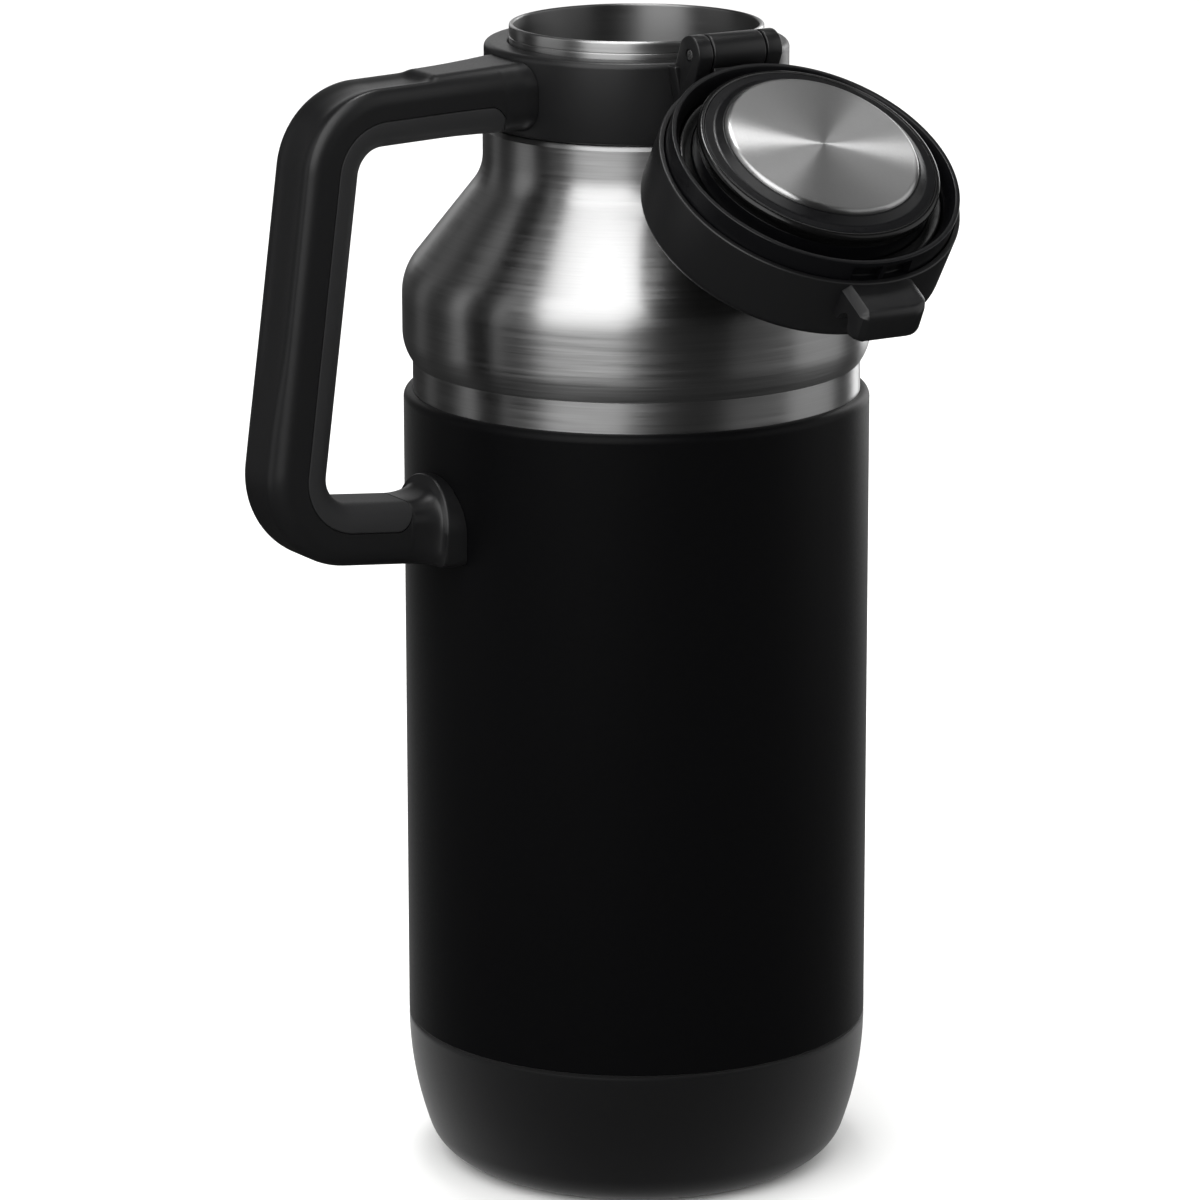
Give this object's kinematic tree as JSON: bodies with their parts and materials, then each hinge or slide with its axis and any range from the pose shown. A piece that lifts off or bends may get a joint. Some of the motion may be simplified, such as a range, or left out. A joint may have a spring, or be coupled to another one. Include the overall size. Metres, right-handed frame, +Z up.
{
  "type": "growler",
  "caption": "Vacuum growler with a steel shoulder, black sleeve and base cup, a side carrying handle and a hinged insulated lid.",
  "frame": {"origin": "middle of the flat underside of the base cup", "axes": "+Z up along the growler's axis; the handle stands out along -X; the lid hinges at -Y, with the hinge pin along X"},
  "size_m": [0.1682, 0.1781, 0.2982],
  "materials": {
    "steel_body": "brushed round the axis",
    "steel_vessel": "satin",
    "steel_disc": "spun",
    "steel_hardware": "plain",
    "sleeve": "satin",
    "base_cup": "matt",
    "collar": "fine moulded texture",
    "handle": "fine moulded texture",
    "handle_inlay": "matt",
    "lid_shell": "fine moulded texture",
    "lid_liner": "satin",
    "lid_foam": "foamed",
    "gasket": "moulded silicone"
  },
  "bodies": {
    "bottle": {"outer_shell": "steel_body", "inner_vessel": "steel_vessel", "base_plate": "steel_hardware", "vacuum_getter": "steel_hardware", "body_sleeve": "sleeve", "base_cup": "base_cup", "collar": "collar", "hinge_pin": "steel_hardware", "handle_bracket": "steel_hardware", "handle_frame": "handle", "handle_inlay": "handle_inlay", "handle_screws": "steel_hardware"},
    "lid": {"lid_shell": "lid_shell", "lid_liner": "lid_liner", "lid_insulation": "lid_foam", "lid_disc": "steel_disc", "plug_gasket": "gasket", "seat_gasket": "gasket"}
  },
  "joints": [
    {"name": "lid_hinge", "type": "hinge", "parent": "bottle", "child": "lid", "pos_m": [0, -0.0438, 0.29336], "axis": [-1, 0, 0], "range_deg": [0, 212.5]}
  ]
}
